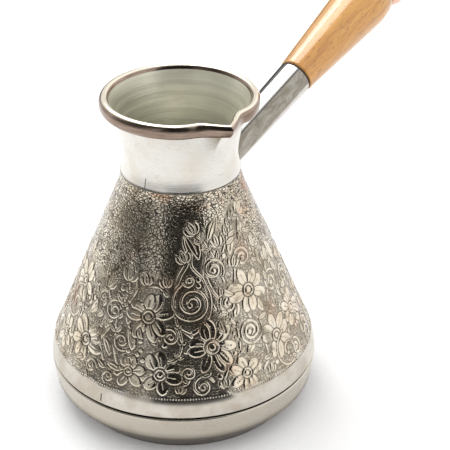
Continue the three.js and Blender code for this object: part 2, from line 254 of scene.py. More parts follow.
def turn(radius, height, angles, axes=POT, shape=None):
    rows, columns = radius.shape
    number = np.zeros((rows, columns), int)
    points = []
    total = 0
    for k in range(rows):
        if radius[k].max() < 1e-6:
            number[k] = total
            points.append(np.array([[0, 0, height[k, 0]]]))
            total += 1
            continue
        ring = np.stack([radius[k] * np.cos(angles), radius[k] * np.sin(angles), height[k]], 1)
        number[k] = np.arange(total, total + columns)
        points.append(ring)
        total += columns
    local = np.concatenate(points)
    if shape:
        local = shape(local)
    placed = local @ axes[:3, :3].T + axes[:3, 3]
    faces = []
    for k in range(rows):
        low = number[k]
        high = number[(k + 1) % rows]
        if low[0] == low[-1] and high[0] == high[-1]:
            continue
        right = np.roll(low, -1)
        upper = np.roll(high, -1)
        if low[0] == low[-1]:
            faces.extend(np.stack([low, upper, high], 1).tolist())
        elif high[0] == high[-1]:
            faces.extend(np.stack([low, right, high], 1).tolist())
        else:
            faces.extend(np.stack([low, right, upper, high], 1).tolist())
    return placed, faces, local


def even(columns, start=0.0):
    return start + np.arange(columns) * 2 * math.pi / columns


def make(name, placed, faces, sharp=50.0, **attributes):
    mesh = bpy.data.meshes.new(name)
    mesh.from_pydata((placed * MM).tolist(), [], faces)
    mesh.shade_smooth()
    if sharp:
        mesh.set_sharp_from_angle(angle=math.radians(sharp))
    for title, values in attributes.items():
        kind = "FLOAT_VECTOR" if values.ndim == 2 else "FLOAT"
        layer = mesh.attributes.new(title, kind, "POINT")
        layer.data.foreach_set("vector" if values.ndim == 2 else "value", values.ravel())
    piece = bpy.data.objects.new(name, mesh)
    bpy.context.scene.collection.objects.link(piece)
    print(name, len(placed), "corners", sum(len(f) - 2 for f in faces), "triangles")
    return piece


def turned_piece(name, outline, columns, axes=POT, start=0.0, shape=None, sharp=50.0):
    radius = np.repeat(outline[:, :1], columns, 1)
    height = np.repeat(outline[:, 1:], columns, 1)
    placed, faces, local = turn(radius, height, even(columns, start), axes, shape)
    return make(name, placed, faces, sharp, turned=local)


def belongs(piece, body, slot, *nodes):
    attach(piece, body)
    if nodes:
        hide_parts(*nodes)


print("handle axis", [round(v, 3) for v in HANDLE[:3, 2]])

# %% [markdown]
# ## Finishes: nodes written as arithmetic
#
# A node tree is easier to read as a sum. The small class below wraps one output, and its
# operators add the Math nodes. Colours pass through Mix nodes. Any other node comes from
# one method that takes its type, its settings, and what goes into its inputs.

# %% Arithmetic on sockets
class Value:
    def __init__(self, tree, link):
        self.tree = tree
        self.link = link

    def maths(self, operation, first, second):
        node = self.tree.nodes.new("ShaderNodeMath")
        node.operation = operation
        for slot, value in zip(node.inputs, (first, second)):
            if isinstance(value, Value):
                self.tree.links.new(value.link, slot)
            else:
                slot.default_value = value
        return Value(self.tree, node.outputs[0])

    def least(self, other):
        return self.maths("MINIMUM", self, other)

    def most(self, other):
        return self.maths("MAXIMUM", self, other)

    def held(self):
        return self.most(0.0).least(1.0)

    def between(self, low, high):
        t = ((self - low) / (high - low)).held()
        return t * t * (3.0 - 2.0 * t)


def forward(operation):
    return lambda self, other: self.maths(operation, self, other)


def reflected(operation):
    return lambda self, other: self.maths(operation, other, self)


SYMBOLS = {"add": "ADD", "sub": "SUBTRACT", "mul": "MULTIPLY", "truediv": "DIVIDE", "pow": "POWER"}
for symbol, operation in SYMBOLS.items():
    setattr(Value, f"__{symbol}__", forward(operation))
    setattr(Value, f"__r{symbol}__", reflected(operation))
print("sockets understand", ", ".join(SYMBOLS))


# %% A finish and its nodes
class Look:
    def __init__(self, tree):
        self.tree = tree
        tree.nodes.clear()

    def place_node(self, kind, settings, inputs):
        node = self.tree.nodes.new(kind)
        for name, value in (settings or {}).items():
            setattr(node, name, value)
        for name, value in (inputs or {}).items():
            if isinstance(value, Value):
                self.tree.links.new(value.link, node.inputs[name])
            else:
                node.inputs[name].default_value = value
        return node

    def node(self, kind, settings=None, inputs=None, out=0):
        return Value(self.tree, self.place_node(kind, settings, inputs).outputs[out])

    def colours(self, amount, first, second):
        first = first if isinstance(first, Value) else (*first, 1.0)
        second = second if isinstance(second, Value) else (*second, 1.0)
        return self.node("ShaderNodeMix", {"data_type": "RGBA"}, {0: amount, 6: first, 7: second}, 2)

    def stored(self, name, out="Fac"):
        return self.node("ShaderNodeAttribute", {"attribute_name": name}, out=out)

    def place(self):
        return self.node("ShaderNodeTexCoord", out="Object")

    def axis(self, vector, number):
        return self.node("ShaderNodeSeparateXYZ", None, {0: vector}, number)

    def dot(self, vector, direction):
        settings = {"operation": "DOT_PRODUCT"}
        return self.node("ShaderNodeVectorMath", settings, {0: vector, 1: direction}, "Value")

    def stretched(self, vector, size):
        return self.node("ShaderNodeMapping", {"vector_type": "TEXTURE"}, {"Vector": vector, "Scale": size})

    def grain(self, vector, size, detail=3.0, rough=0.55, twist=0.0):
        inputs = {"Vector": vector, "Scale": 1 / size, "Detail": detail}
        inputs.update({"Roughness": rough, "Distortion": twist})
        return self.node("ShaderNodeTexNoise", None, inputs)

    def brushed(self, vector, size, rough=0.65):
        return self.grain(self.stretched(vector, size), 1.0, 4.0, rough)

    def shifted(self, vector, size, amount):
        inputs = {"Vector": vector, "Scale": 1 / size, "Detail": 2.0}
        cloud = self.node("ShaderNodeTexNoise", None, inputs, "Color")
        centred = self.node("ShaderNodeVectorMath", {"operation": "SUBTRACT"}, {0: cloud, 1: (0.5, 0.5, 0.5)})
        scaled = self.node("ShaderNodeVectorMath", {"operation": "SCALE"}, {0: centred, "Scale": 2 * amount})
        return self.node("ShaderNodeVectorMath", {"operation": "ADD"}, {0: vector, 1: scaled})

    def raised(self, height, depth):
        return self.node("ShaderNodeBump", None, {"Height": height, "Distance": depth, "Strength": 1.0})

    def mark(self, place, azimuth, low, high, width):
        a = math.radians(azimuth)
        aside = self.dot(place, (-math.sin(a), math.cos(a), 0))
        outward = self.dot(place, (math.cos(a), math.sin(a), 0))
        height = self.axis(place, 2)
        tall = height.between(low, low + 0.0003) * (1.0 - height.between(high - 0.0003, high))
        narrow = 1.0 - (aside * aside).between(0.2 * width * width, width * width)
        return tall * narrow * outward.between(0.0, 0.001)

    def finish(self, **inputs):
        named = {name.replace("_", " "): value for name, value in inputs.items()}
        surface = self.node("ShaderNodeBsdfPrincipled", None, named)
        self.place_node("ShaderNodeOutputMaterial", None, {"Surface": surface})


def new_finish(name):
    material = bpy.data.materials.new(name)
    material.use_nodes = True
    return material, Look(material.node_tree)


SILVER = (0.70, 0.68, 0.64)
WARM_SILVER = (0.62, 0.55, 0.45)
OXIDE = (0.02, 0.016, 0.012)
print("finish tools ready")

# %% [markdown]
# ## The stamped pattern
#
# The real pattern is pressed into the sheet with a steel die: flowers, scrolls and leaves
# stand up from a dotted ground, and above them the sheet is only hammered. A texture could
# hint at it, but its shadows would be wrong, so the pattern is real height. It is drawn as
# strokes on the unrolled cone, each a line of points with a half width, and pressed into a
# grid of heights one after another, so that a later stroke lies on top of an earlier one.

# %% The grid of the pattern
COLUMNS = 1152
ROWS = 309
FRONT = math.radians(-140)
RELIEF = 0.22
steps = np.hypot(*np.diff(COVER, axis=0).T)
length = np.concatenate([[0], np.cumsum(steps)])
ROW_S = np.linspace(0, length[-1], ROWS)
ROW_R = np.interp(ROW_S, length, COVER[:, 0])
ROW_Z = np.interp(ROW_S, length, COVER[:, 1])
ROW_N = normals(np.stack([ROW_R, ROW_Z], 1))
THETA = even(COLUMNS)
HEIGHT = np.zeros((ROWS, COLUMNS))
OXIDE_AND_SHADOW = np.zeros((ROWS, COLUMNS))
GAP = np.full((ROWS, COLUMNS), 9.0)
print("grid step along the cone", round(length[-1] / ROWS, 2), "mm")


# %% Pressing one stroke
def spot(a, z, points):
    s = np.interp(z, ROW_Z, ROW_S)
    r = np.interp(z, ROW_Z, ROW_R)
    return np.stack([FRONT + math.radians(a) + points[:, 0] / r, s + points[:, 1]], 1)


def press(a, z, points, half, top=RELIEF, vein=False):
    points = np.array(points, float)
    half = np.broadcast_to(np.array(half, float), (len(points),))
    line = spot(a, z, points)
    r_line = np.interp(line[:, 1], ROW_S, ROW_R)
    reach = half.max() + 1.3
    s_step = ROW_S[1]
    low = max(int((line[:, 1].min() - reach) / s_step), 0)
    high = min(int((line[:, 1].max() + reach) / s_step) + 2, ROWS)
    if low >= high:
        return
    turn_reach = reach / max(r_line.min(), 15)
    c_low = int(math.floor((line[:, 0].min() - turn_reach) / (2 * math.pi) * COLUMNS))
    c_high = int(math.ceil((line[:, 0].max() + turn_reach) / (2 * math.pi) * COLUMNS)) + 1
    spins = np.arange(c_low, c_high)
    theta = spins * 2 * math.pi / COLUMNS
    rows = np.arange(low, high)
    du = (theta[None, :, None] - line[None, None, :, 0]) * ROW_R[rows][:, None, None]
    dv = ROW_S[rows][:, None, None] - line[None, None, :, 1]
    away = np.hypot(du, dv)
    edge = away - half[None, None, :]
    nearest = edge.argmin(2)
    gap = np.take_along_axis(edge, nearest[..., None], 2)[..., 0]
    distance = np.take_along_axis(away, nearest[..., None], 2)[..., 0]
    width = half[nearest]
    where = np.ix_(rows, spins % COLUMNS)
    q = np.clip(distance / np.maximum(width, 1e-3), 0, 1) ** 2
    inside = gap < 0
    if vein:
        cut = np.where(inside, (1 - q) ** 0.6, 0)
        HEIGHT[where] = HEIGHT[where] - top * cut
        OXIDE_AND_SHADOW[where] = np.maximum(OXIDE_AND_SHADOW[where], 0.85 * cut)
        return
    dome = top * (0.7 + 0.3 * (1 - q) ** 0.5)
    ring = np.exp(-((np.maximum(gap, 0) - 0.16) / 0.2) ** 2) * (gap >= 0) * (gap < 0.9)
    HEIGHT[where] = np.where(inside, dome, HEIGHT[where] * (1 - ring) - 0.07 * ring)
    OXIDE_AND_SHADOW[where] = np.where(inside, OXIDE_AND_SHADOW[where] * 0.1, np.maximum(OXIDE_AND_SHADOW[where], ring))
    GAP[where] = np.minimum(GAP[where], gap)


# %% [markdown]
# ## Motifs
#
# Each motif is a few strokes about its own centre. They are drawn from rules and not copied:
# a daisy is a ring of petals, a scroll is a spiral that ends in a bud, a leaf is a bent line
# that is widest in the middle with a vein cut along it.

# %% Stem, leaf and scroll
def smooth(points, count):
    points = np.array(points, float)
    t = np.linspace(0, len(points) - 1, len(points))
    fine = np.linspace(0, len(points) - 1, count)
    if len(points) < 3:
        return np.stack([np.interp(fine, t, points[:, k]) for k in (0, 1)], 1)
    padded = np.vstack([2 * points[0] - points[1], points, 2 * points[-1] - points[-2]])
    result = []
    for f in fine:
        i = min(int(f), len(points) - 2)
        u = f - i
        a, b, c, d = padded[i:i + 4]
        result.append(0.5 * (2 * b + (c - a) * u + (2 * a - 5 * b + 4 * c - d) * u * u
                             + (3 * b - a - 3 * c + d) * u ** 3))
    return np.array(result)


def between_places(places):
    a0, z0 = places[0]
    r = np.interp([z for _, z in places], ROW_Z, ROW_R)
    s = np.interp([z for _, z in places], ROW_Z, ROW_S)
    r0 = np.interp(z0, ROW_Z, ROW_R)
    u = [math.radians(a - a0) * r0 for a, _ in places]
    return np.stack([u, s - s[0]], 1)


def stem(places, half=0.42):
    line = between_places(places)
    size = np.hypot(*np.diff(line, axis=0).T).sum()
    points = smooth(line, max(int(size / 0.3), 6))
    press(*places[0], points, half, RELIEF * 0.85)
    return points


def leaf(a, z, size, width, heading, bend=0.0, top=RELIEF, vein=True, at=(0, 0)):
    t = np.linspace(0, 1, max(int(size / 0.3), 6))
    angle = math.radians(heading) + math.radians(bend) * (t - 0.5)
    step = size / len(t)
    points = np.cumsum(np.stack([np.cos(angle), np.sin(angle)], 1) * step, 0) + np.array(at)
    half = width / 2 * np.sin(math.pi * np.clip(t, 0.03, 0.985) ** 0.85) ** 0.8
    press(a, z, points, half, top)
    if vein:
        keep = (t > 0.12) & (t < 0.8)
        press(a, z, points[keep], 0.2, 0.2, vein=True)


def scroll(a, z, size, turns, start=0.0, hand=1, half=0.5):
    count = int(turns * size * 9) + 12
    t = np.linspace(0, 1, count)
    reach = size * (1 - 0.86 * t ** 0.85)
    angle = math.radians(start) + hand * t * turns * 2 * math.pi
    points = np.stack([np.cos(angle) * reach, np.sin(angle) * reach], 1)
    press(a, z, points, half * (0.75 + 0.35 * t), RELIEF * 0.9)
    press(a, z, points[-1:], half * 1.7, RELIEF * 1.1)


# %% Daisy, bud and spray
def daisy(a, z, size, petals, heading=0.0, broad=1.0):
    press(a, z, [[0, 0]], size * 0.62, 0.05)
    for k in range(petals):
        sway = math.sin(5.1 * k + a)
        t = np.linspace(0, 1, 12)
        angle = math.radians(heading + 360 * k / petals + 5 * sway) + 0.22 * math.cos(3.7 * k + z) * t
        reach = size * (0.3 + (0.62 + 0.09 * sway) * t)
        points = np.stack([np.cos(angle) * reach, np.sin(angle) * reach], 1)
        widest = broad * math.pi * size * 0.62 / petals * 0.92
        half = widest * np.sin(math.pi * (0.1 + 0.82 * t) ** 1.25) ** 0.6
        press(a, z, points, half, RELIEF)
        press(a, z, points[1:9], 0.2, 0.2, vein=True)
    ring = np.radians(np.linspace(0, 360, 40))
    press(a, z, [[0, 0]], size * 0.3, RELIEF * 0.2)
    press(a, z, np.stack([np.cos(ring), np.sin(ring)], 1) * size * 0.24, 0.34, RELIEF * 1.1)
    press(a, z, [[0, 0]], size * 0.13, RELIEF * 1.15)


def bud(a, z, size, heading):
    for side in (-1, 1):
        leaf(a, z, size, size * 0.42, heading + side * 34, -side * 50, vein=False)
    leaf(a, z, size * 1.15, size * 0.5, heading)


def spray(places, leaflets, size, lean=42):
    points = stem(places)
    for k in range(1, leaflets + 1):
        i = int(k / (leaflets + 0.6) * (len(points) - 1))
        ahead = points[min(i + 2, len(points) - 1)] - points[max(i - 2, 0)]
        heading = math.degrees(math.atan2(ahead[1], ahead[0]))
        long = size * (1.05 - 0.45 * k / leaflets)
        for side in (-1, 1):
            leaf(*places[0], long, long * 0.36, heading + side * lean, -side * 30, at=points[i])
    ahead = points[-1] - points[-4]
    leaf(*places[0], size * 0.7, size * 0.3, math.degrees(math.atan2(ahead[1], ahead[0])), at=points[-1])


print("motifs ready")

# %% [markdown]
# ## Laying out the pattern
#
# A die has one pattern that repeats round the cone. The layout below covers half a turn and
# is pressed twice. Places are given as degrees to the right of the front, and height.

# %% Where each motif sits
SCROLLS = [
    (7, 57, 7.4, 2.3, 120, 1), (-5, 46, 3.8, 1.6, 200, -1), (10, 29.5, 4.2, 1.7, 20, 1),
    (4, 34, 3.2, 1.5, 250, -1), (38, 44, 5.6, 2.6, 60, -1), (63, 55, 5.2, 1.9, 300, 1),
    (64, 29.5, 3.4, 1.6, 90, -1), (-38, 51, 4.2, 1.7, 40, 1), (45, 68, 4.2, 1.8, 210, -1),
    (22, 67, 4.2, 1.9, 320, 1), (-60, 50, 3.6, 1.6, 150, 1), (80, 52, 4.0, 1.7, 20, 1),
    (-80, 42, 4.0, 1.7, 200, -1), (-30, 42, 3.4, 1.5, 300, -1), (28, 55, 3.4, 1.6, 140, 1),
    (-44, 30, 3.0, 1.5, 10, 1), (82, 32, 3.2, 1.5, 100, 1),
]
DAISIES = [
    (-17, 52, 8.4, 8, 10, 1.0), (16, 42, 9.0, 9, 0, 1.0), (-9, 33.5, 7.4, 7, 30, 1.1),
    (43, 57, 8.2, 8, 15, 1.0), (53, 38, 7.8, 8, 0, 1.0), (-52, 37, 8.4, 8, 20, 1.0),
    (-70, 53, 7.8, 8, 0, 1.0), (-24, 33, 5.6, 6, 10, 1.1), (73, 41, 7.4, 8, 12, 1.0),
    (31, 31, 6.4, 7, 0, 1.05), (-70, 33, 6.4, 7, 25, 1.0),
]
SPRAYS = [
    ([(31, 72), (38, 77), (46, 81.5), (53, 83)], 6, 4.6),
    ([(-33, 40), (-35, 50), (-31, 60), (-33, 69)], 6, 4.0),
    ([(28, 62), (25, 69), (18, 76), (10, 80)], 5, 4.6), ([(-62, 42), (-60, 50), (-54, 57)], 4, 3.6),
    ([(60, 62), (55, 68), (50, 74)], 4, 3.8), ([(-12, 40), (-3, 38), (1, 44), (-2, 52)], 4, 3.2),
    ([(27, 35), (30, 40), (30, 47), (25, 52)], 4, 3.2), ([(84, 40), (86, 48), (82, 57)], 4, 3.6),
    ([(62, 34), (64, 42), (62, 48)], 4, 3.2), ([(-84, 34), (-82, 44), (-85, 54)], 4, 3.6),
]
STEMS = [
    [(4, 71), (-1, 66), (-3, 58), (0, 50), (6, 46)], [(15, 79), (18, 72), (15, 66), (16, 60), (20, 54)],
    [(-26, 28), (-30, 34), (-34, 40)], [(40, 30), (44, 33), (44, 40), (38, 51)],
    [(-44, 44), (-42, 52), (-46, 58)], [(70, 47), (66, 50), (70, 58)], [(-8, 60), (-12, 62), (-20, 62)],
    [(58, 47), (55, 50), (60, 56), (64, 62)], [(24, 28), (20, 30), (22, 34)],
    [(-62, 28), (-60, 33), (-64, 44)],
]
BUDS = [
    (-32, 62, 5.2, 90), (4, 70, 4.2, 110), (12, 79, 4.6, 120), (53, 82, 4.0, 40), (-46, 57, 4.6, 80),
    (66, 62, 4.2, 70), (-8, 62, 3.8, 100), (28, 74, 4.0, 100), (-86, 54, 4.4, 100), (84, 57, 4.4, 80),
    (-20, 62, 3.8, 100), (36, 66, 3.8, 70), (0, 27.5, 3.2, 80), (20, 28, 3.2, 95), (44, 27.5, 3.2, 80),
]
CONTOUR = [
    (-90, 57), (-80, 60), (-70, 62), (-60, 60), (-50, 60), (-40, 58), (-34, 70), (-28, 62), (-20, 65),
    (-10, 64), (-2, 70), (4, 76), (9, 84), (17, 80), (24, 78), (30, 80), (38, 83), (50, 87), (57, 80),
    (62, 68), (70, 63), (80, 60), (90, 57),
]
TEARDROP = [
    [(7, 47), (0, 50), (-4, 57), (0, 65), (6, 71), (3, 77), (6, 82)],
    [(7, 47), (14, 50), (18, 57), (15, 64), (8, 69), (9, 74)],
    [(22, 72), (17, 66), (20, 60), (24, 57)], [(-26, 46), (-30, 54), (-26, 61), (-31, 68)],
    [(-38, 34), (-42, 40), (-38, 47), (-42, 54)], [(34, 60), (37, 66), (34, 73), (40, 79)],
]
LEAVES = [
    (13, 71, 11, 3.4, 118, 50), (21, 76, 9, 2.8, 60, -40), (26, 66, 8, 3.0, 100, 40),
    (36, 70, 8, 2.8, 60, -50), (-24, 40, 8, 3.0, 110, 60), (-28, 48, 7, 2.6, 70, -60),
    (-35, 36, 7, 2.8, 130, 50), (-41, 44, 7, 2.6, 60, -60), (2, 41, 8, 3.0, 40, 50),
    (24, 37, 7, 2.8, 110, -50), (33, 37, 8, 3.0, 60, 60), (49, 48, 7, 2.8, 120, 50),
    (-2, 31, 6, 2.6, 20, 60), (60, 33, 7, 2.6, 80, -50), (-55, 46, 7, 2.8, 70, 60),
    (-12, 43, 6, 2.4, 100, -60), (75, 60, 8, 2.8, 100, 40), (-76, 60, 8, 2.8, 80, -40),
    (46, 74, 8, 2.6, 70, 50), (30, 50, 7, 2.8, 80, 70),
]
print(len(SCROLLS), "scrolls,", len(DAISIES), "daisies,", len(SPRAYS), "sprays")


# %% Press the layout, then fill what is left bare
def contour(a):
    wrapped = (a + 90) % 180 - 90
    return np.interp(wrapped, *np.array(CONTOUR, float).T)


def lay_out(offset):
    for places in STEMS + TEARDROP:
        stem([(a + offset, z) for a, z in places], 0.46)
    for a, z, size, width, heading, bend in LEAVES:
        leaf(a + offset, z, size, width, heading, bend)
    for places, leaflets, size in SPRAYS:
        spray([(a + offset, z) for a, z in places], leaflets, size)
    for a, z, size, turns, start, hand in SCROLLS:
        scroll(a + offset, z, size, turns, start, hand)
    for a, z, size, heading in BUDS:
        bud(a + offset, z, size, heading)
    for a, z, size, petals, heading, broad in DAISIES:
        daisy(a + offset, z, size, petals, heading, broad)


def fill(seed, tries):
    chance = np.random.default_rng(seed)
    placed = 0
    for _ in range(tries):
        a = chance.uniform(-180, 180)
        z = chance.uniform(27.5, 86)
        if z > contour(a) - 3:
            continue
        row = int(np.interp(z, ROW_Z, np.arange(ROWS)))
        column = int(round((FRONT + math.radians(a)) / (2 * math.pi) * COLUMNS)) % COLUMNS
        room = GAP[row, column]
        if room < 0.95:
            continue
        heading = chance.uniform(0, 360)
        if room > 2.6:
            scroll(a, z, room * 0.85, 1.4, heading, chance.choice((-1, 1)), 0.42)
        elif room > 1.2:
            leaf(a, z, room * 2.6, room * 1.1, heading, chance.uniform(-80, 80), at=(0, 0))
        else:
            press(a, z, [[0, 0]], room * 0.75, RELIEF * 0.8)
        placed += 1
    return placed


lay_out(0)
lay_out(180)
print("fillers pressed:", fill(7, 2600))

# %% [markdown]
# ## The hammered ground
#
# Above the pattern the sheet is covered with small round dents and pebbles about 1.2 mm
# across, with dark oxide left between them. A cell pattern gives each pebble its own size.
# The plain band below the pattern stays smooth.

# %% Hammer marks and ground dots
def pebbles(size, seed):
    x = (ROW_R[:, None] * np.cos(THETA)[None, :]).ravel() / size
    y = (ROW_R[:, None] * np.sin(THETA)[None, :]).ravel() / size
    z = np.repeat(ROW_S / size * 1.5 + seed, COLUMNS)
    first = np.empty(len(x))
    second = np.empty(len(x))
    for i, place in enumerate(zip(x.tolist(), y.tolist(), z.tolist())):
        near = noise.voronoi(place)[0]
        first[i] = near[0]
        second[i] = near[1]
    shape = (ROWS, COLUMNS)
    return first.reshape(shape), second.reshape(shape)


def eased(value, low, high):
    t = np.clip((value - low) / (high - low), 0, 1)
    return t * t * (3 - 2 * t)


TURN = np.degrees(THETA - FRONT)[None, :]
EDGE = contour(TURN) + 1.2 * np.sin(np.radians(TURN * 17)) + 0.8 * np.sin(np.radians(TURN * 29))
above = eased(ROW_Z[:, None] - EDGE, -1.5, 1.5)
wave = 26.0 + 0.5 * np.sin(np.radians(TURN * 24)) + 0.3 * np.sin(np.radians(TURN * 41))
stamped = eased(ROW_Z[:, None] - wave, -0.5, 0.5)
near_top = eased(ROW_Z[:, None], NECK_Z - 0.3, NECK_Z - 0.8) * np.ones((1, COLUMNS))
first, second = pebbles(1.25, 3.7)
pebble = eased(second - first, 0.0, 0.34)
crevice = 1 - eased(second - first, 0.02, 0.2)
open_ground = eased(GAP, 0.1, 0.5) * (1 - above)
hammer = above * eased(GAP, 0.0, 0.4)
HEIGHT += (hammer * 0.042 + open_ground * 0.014) * (pebble - 0.7) * stamped
HEIGHT = HEIGHT * stamped * near_top - 0.12 * stamped * near_top
# Painted shadow: a dark line on the cone just under the neck's edge, stored with the oxide so it is drawn
# black.
neck_shadow_line = eased(ROW_Z[:, None], NECK_Z - 1.0, NECK_Z - 0.5)
neck_shadow_line = neck_shadow_line * (1 - eased(ROW_Z[:, None], NECK_Z - 0.25, NECK_Z))
OXIDE_AND_SHADOW = np.maximum(OXIDE_AND_SHADOW * (0.9 - 0.3 * above), open_ground * (0.16 + 0.54 * crevice)) * stamped * near_top
OXIDE_AND_SHADOW = np.maximum(OXIDE_AND_SHADOW, 0.9 * neck_shadow_line)
PITS = np.maximum(hammer, open_ground * 0.8) * stamped * near_top
print("relief from", round(HEIGHT.min(), 2), "to", round(HEIGHT.max(), 2), "mm")


# %% Four closed skins carry the pattern
SKIN_DEPTH = 0.62
SKIN_ROWS = 77
GRIDS = {"oxide_and_shadow": OXIDE_AND_SHADOW, "hammered": above * stamped, "stamped": stamped * near_top, "pits": PITS}


def skin(name, low, high):
    radius = ROW_R[low:high, None] - ROW_N[low:high, :1] * HEIGHT[low:high]
    height = ROW_Z[low:high, None] - ROW_N[low:high, 1:] * HEIGHT[low:high]
    back = np.linspace(high - 1, low, 6).round().astype(int)
    inner_r = np.repeat((ROW_R[back] + ROW_N[back, 0] * SKIN_DEPTH)[:, None], COLUMNS, 1)
    inner_z = np.repeat((ROW_Z[back] + ROW_N[back, 1] * SKIN_DEPTH)[:, None], COLUMNS, 1)
    placed, faces, _ = turn(np.concatenate([radius, inner_r]), np.concatenate([height, inner_z]), THETA)
    flat = np.zeros((6, COLUMNS))
    stored = {title: np.concatenate([grid[low:high], flat]).ravel() for title, grid in GRIDS.items()}
    return make(name, placed, faces, 70, **stored)


relief = []
for k, name in enumerate(("relief_foot", "relief_lower", "relief_upper", "relief_top")):
    piece = skin(name, k * SKIN_ROWS, (k + 1) * SKIN_ROWS + 1)
    belongs(piece, "pot", "plated_body", "body_shell")
    relief.append(piece)

# %% [markdown]
# ## The sheet of the pot
#
# The body, neck and rim are one sheet whose edge is curled over a wire. It is turned from
# one closed outline: up the outside, round the curl, and down the inside. Under the pattern
# its outside stands back a little, because the embossed skin is the outside there. The
# pouring lip is pinched out afterwards, with the columns crowded toward its crease.

# %% Pinch the lip
def pinch(points):
    reach = np.hypot(points[:, 0], points[:, 1])
    turned = np.arctan2(points[:, 1], points[:, 0]) - LIP_ANGLE
    turned = np.arctan2(np.sin(turned), np.cos(turned))
    away = turned - LIP_CROWDING * np.sin(turned)
    near = np.maximum(0, 1 - np.abs(away) / LIP_HALF_WIDTH)
    draw = np.exp(-((np.abs(away) - LIP_HALF_WIDTH * 0.95) / (LIP_HALF_WIDTH * 0.45)) ** 2)
    growth = np.clip(1 + (points[:, 2] - RIM_Z) / LIP_HEIGHT, 0, 1) ** 1.7
    near = near ** LIP_CREASE
    wide = reach + growth * (LIP_REACH * near - LIP_DRAW * draw)
    angle = LIP_ANGLE + away
    bent = np.stack([wide * np.cos(angle), wide * np.sin(angle), points[:, 2] - LIP_DIP * growth * near], 1)
    return np.where(reach[:, None] > 1e-6, bent, points)


# %% Turn the sheet
set_back = 0.5 * (eased(SHEET[:, 1], GROOVE_TOP, GROOVE_TOP + 0.01))
set_back *= eased(SHEET[:, 1], NECK_Z - 0.4, NECK_Z - 1.2)
set_back[-len(curl):] = 0
outside = SHEET + normals(SHEET) * set_back[:, None]
inside = beside(SHEET, WALL)
body_outline = soften(np.concatenate([outside, inside[::-1]]), 0.3)
body_sheet = turned_piece("body_sheet", body_outline, 256, start=LIP_ANGLE, shape=pinch, sharp=60)
belongs(body_sheet, "pot", "plated_body", "body_shell")

# %% [markdown]
# ## Rim wire and base pan
#
# A copper wire stiffens the rim inside the curl. The base pan is a separate shallow dish: a
# plain band, a bend, and a turned-in foot, with a flange that goes up inside the body.

# %% Turn the rim wire
wire_outline = arc((RIM_RADIUS, CURL_Z), WIRE_RADIUS, -180, 180, 16)[:-1]
rim_wire_fine = turned_piece("rim_wire_fine", wire_outline, 256, start=LIP_ANGLE, shape=pinch)
belongs(rim_wire_fine, "pot", "copper", "rim_wire")

# %% Turn the base pan
bend = arc((PAN_EDGE, PAN_BEND_Z), PAN_BEND, -52, 8, 12)
foot = curve(
    (FOOT_RADIUS - FOOT_EDGE, 0), (FOOT_RADIUS - FOOT_EDGE * 0.4, 0),
    (FOOT_RADIUS - 0.1, FOOT_EDGE * 0.1), (FOOT_RADIUS, FOOT_EDGE * 0.4), 8,
)
pan_outside = chain(foot, bend, straight(bend[-1] + (0.012, 0.15), (BODY_RADIUS, GROOVE_FOOT - 0.4), 8))
pan_inside = beside(pan_outside, PAN_WALL)
pan_inside[0] = (pan_inside[0][0], PAN_WALL)
liner = beside(band, WALL + 0.3)
liner = liner[liner[:, 1] < GROOVE_FOOT + 4.6]
spigot = np.vstack([(liner[0][0], GROOVE_FOOT), liner])
spigot_back = spigot - (0.9, 0)
spigot_back[0][1] -= 0.9
pan_outline = soften(np.vstack([
    (0, 0), pan_outside, (BODY_RADIUS - 0.4, GROOVE_FOOT), spigot, spigot_back[::-1],
    pan_inside[:-1][::-1], (0, PAN_WALL),
]), 0.25)
base_pan_fine = turned_piece("base_pan_fine", pan_outline, 256)
belongs(base_pan_fine, "pot", "plated_base", "base_pan")

# %% [markdown]
# ## The handle's metal and wood
#
# The steel socket is a slightly tapered tube whose root is cut to the cone. The cut is found
# for each column by walking along the tube until it meets the pot's surface. The wood, the
# washer and the copper cap are turned about the same tilted axis.

# %% Where the socket meets the pot
def pot_radius(z):
    below_curl = SHEET[:-len(curl)]
    return np.interp(z, below_curl[:, 1], below_curl[:, 0])


def root_cut(radius, angles):
    root = np.empty(len(angles))
    for j, angle in enumerate(angles):
        low, high = 15.0, 40.0
        for _ in range(30):
            t = (low + high) / 2
            x, y, z = HANDLE[:3, :3] @ (radius * math.cos(angle), radius * math.sin(angle), t) + HANDLE[:3, 3]
            low, high = (t, high) if math.hypot(x, y) < pot_radius(z) - ROOT_INSET else (low, t)
        root[j] = high
    return root


SIDES = 128
around = even(SIDES)
root = root_cut(SOCKET_ROOT_RADIUS, around)
print("socket root from", round(root.min(), 1), "to", round(root.max(), 1), "mm along the axis")

# %% Turn the socket
stations = [0.0, 0.03, 0.2, 0.5, 0.8, 0.97, 1.0]
outer_t = np.array([root + (SOCKET_END - 0.3 - root) * s for s in stations])
outer_r = SOCKET_END_RADIUS - SOCKET_TAPER * (SOCKET_END - outer_t)
lip_t = SOCKET_END - np.repeat([[0.08], [0.0], [0.0]], SIDES, 1)
lip_r = SOCKET_END_RADIUS - np.repeat([[0.08], [0.3], [0.95]], SIDES, 1)
inner_t = np.array([np.full(SIDES, SOCKET_END - 0.1), root + 8.0, root])
inner_r = SOCKET_END_RADIUS - SOCKET_TAPER * (SOCKET_END - inner_t) - 1.0
placed, faces, local = turn(
    np.concatenate([outer_r, lip_r, inner_r]), np.concatenate([outer_t, lip_t, inner_t]), around, HANDLE,
)
handle_socket_fine = make("handle_socket_fine", placed, faces, 50, turned=local)
belongs(handle_socket_fine, "pot", "steel", "handle_socket")

# %% The bead of solder round the socket's root
ring_angles = even(16)
bead_r = np.array([SOCKET_ROOT_RADIUS + BEAD_RADIUS * math.cos(a) + 0 * around for a in ring_angles])
bead_t = np.array([root + ROOT_INSET + BEAD_RADIUS * math.sin(a) for a in ring_angles])
placed, faces, local = turn(bead_r, bead_t, around, HANDLE)
solder_bead = make("solder_bead", placed, faces, 0, turned=local)
belongs(solder_bead, "pot", "plated_body", "handle_socket")

